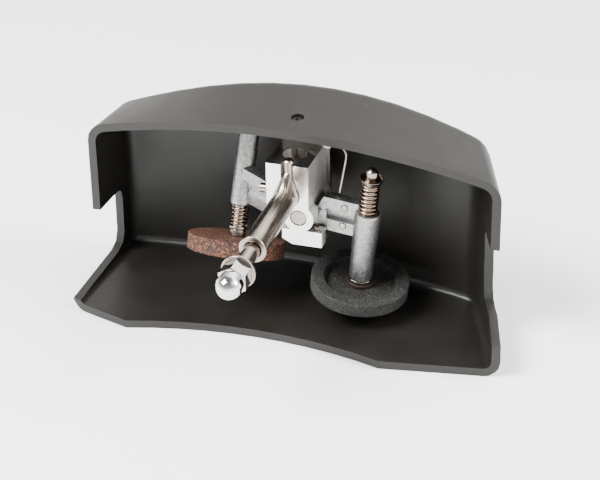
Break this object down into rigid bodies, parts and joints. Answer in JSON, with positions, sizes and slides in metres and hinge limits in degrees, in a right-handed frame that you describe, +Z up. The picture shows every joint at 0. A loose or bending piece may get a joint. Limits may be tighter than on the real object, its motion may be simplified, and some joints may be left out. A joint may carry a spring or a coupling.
{
  "type": "blade sharpener head",
  "caption": "Open-fronted cover holding a rocking bracket with sprung, free-turning stones, on a clamp stud with an acorn nut.",
  "frame": {"origin": "on the underside of the cover's floor, below the front face of the block that carries the mechanism", "axes": "+Z up, +Y into the cover, +X to the right seen from the open front; the clamp stud points to -Y"},
  "size_m": [0.2212, 0.1447, 0.1069],
  "materials": {
    "moulding": "warm dark grey, satin",
    "machined": "milled",
    "cast": "cast and tumbled",
    "stainless": "ground",
    "chrome": "polished",
    "bronze": "sintered bronze",
    "spring": "drawn wire",
    "brown_grit": "coarse bonded grit",
    "grey_grit": "fine bonded grit",
    "rubber": "matt",
    "fibre": "dark fibre",
    "blackened": "black oxide steel"
  },
  "bodies": {
    "housing": {"cover": "moulding", "cover_screw": "blackened", "cover_pad": "rubber", "hanger_plate": "cast", "hanger_screw_lower": "stainless", "hanger_screw_upper": "stainless", "carrier_block": "machined", "clamp_stud": "stainless", "shoulder_ring": "stainless", "clamp_washer": "stainless", "acorn_nut": "chrome", "stud_lock_screw": "stainless", "stop_plate": "machined", "stop_plate_screw": "stainless", "plate_grub_screw": "stainless", "pivot_axle": "stainless", "spring_post": "stainless", "torsion_spring": "stainless"},
    "rocker": {"rocker_bracket": "cast", "arm_pin_lower": "stainless", "arm_pin_upper": "stainless", "hub_bush_front": "bronze", "hub_bush_rear": "bronze", "grinding_bush_lower": "bronze", "grinding_bush_upper": "bronze", "truing_bush_lower": "bronze", "truing_bush_upper": "bronze", "grinding_spring": "spring", "truing_spring": "spring"},
    "grinding_slider": {"grinding_spring_seat": "stainless", "grinding_clip": "spring"},
    "grinding_rotor": {"grinding_spindle": "stainless", "grinding_stone": "brown_grit", "grinding_nut": "stainless"},
    "truing_slider": {"truing_spring_seat": "stainless", "truing_clip": "spring"},
    "truing_rotor": {"truing_spindle": "stainless", "truing_stone": "grey_grit", "truing_nut": "stainless", "truing_hub_washer": "fibre", "truing_end_ring": "stainless"}
  },
  "joints": [
    {"name": "bracket_rock", "type": "hinge", "parent": "housing", "child": "rocker", "pos_m": [0.0054, 0.0145, 0.0578], "axis": [0, 1, 0], "range_deg": [-6, 3], "stiffness_Nm_per_rad": 0.6, "springref_deg": 34.38, "deforming": ["torsion_spring"]},
    {"name": "grinding_slide", "type": "slide", "parent": "rocker", "child": "grinding_slider", "axis": [0.013, 0.3793, 0.9252], "range_m": [0, 0.003], "stiffness_N_per_m": 600, "springref_m": -0.004, "deforming": ["grinding_spring"]},
    {"name": "grinding_spin", "type": "hinge", "parent": "grinding_slider", "child": "grinding_rotor", "pos_m": [-0.03146, 0.01121, 0.0312], "axis": [0.013, 0.3793, 0.9252], "continuous": true},
    {"name": "truing_slide", "type": "slide", "parent": "rocker", "child": "truing_slider", "axis": [-0.1131, 0.0565, -0.992], "range_m": [0, 0.004], "stiffness_N_per_m": 500, "springref_m": -0.004, "deforming": ["truing_spring"]},
    {"name": "truing_spin", "type": "hinge", "parent": "truing_slider", "child": "truing_rotor", "pos_m": [0.0331, 0.0137, 0.0215], "axis": [0.1131, -0.0565, 0.992], "continuous": true}
  ]
}
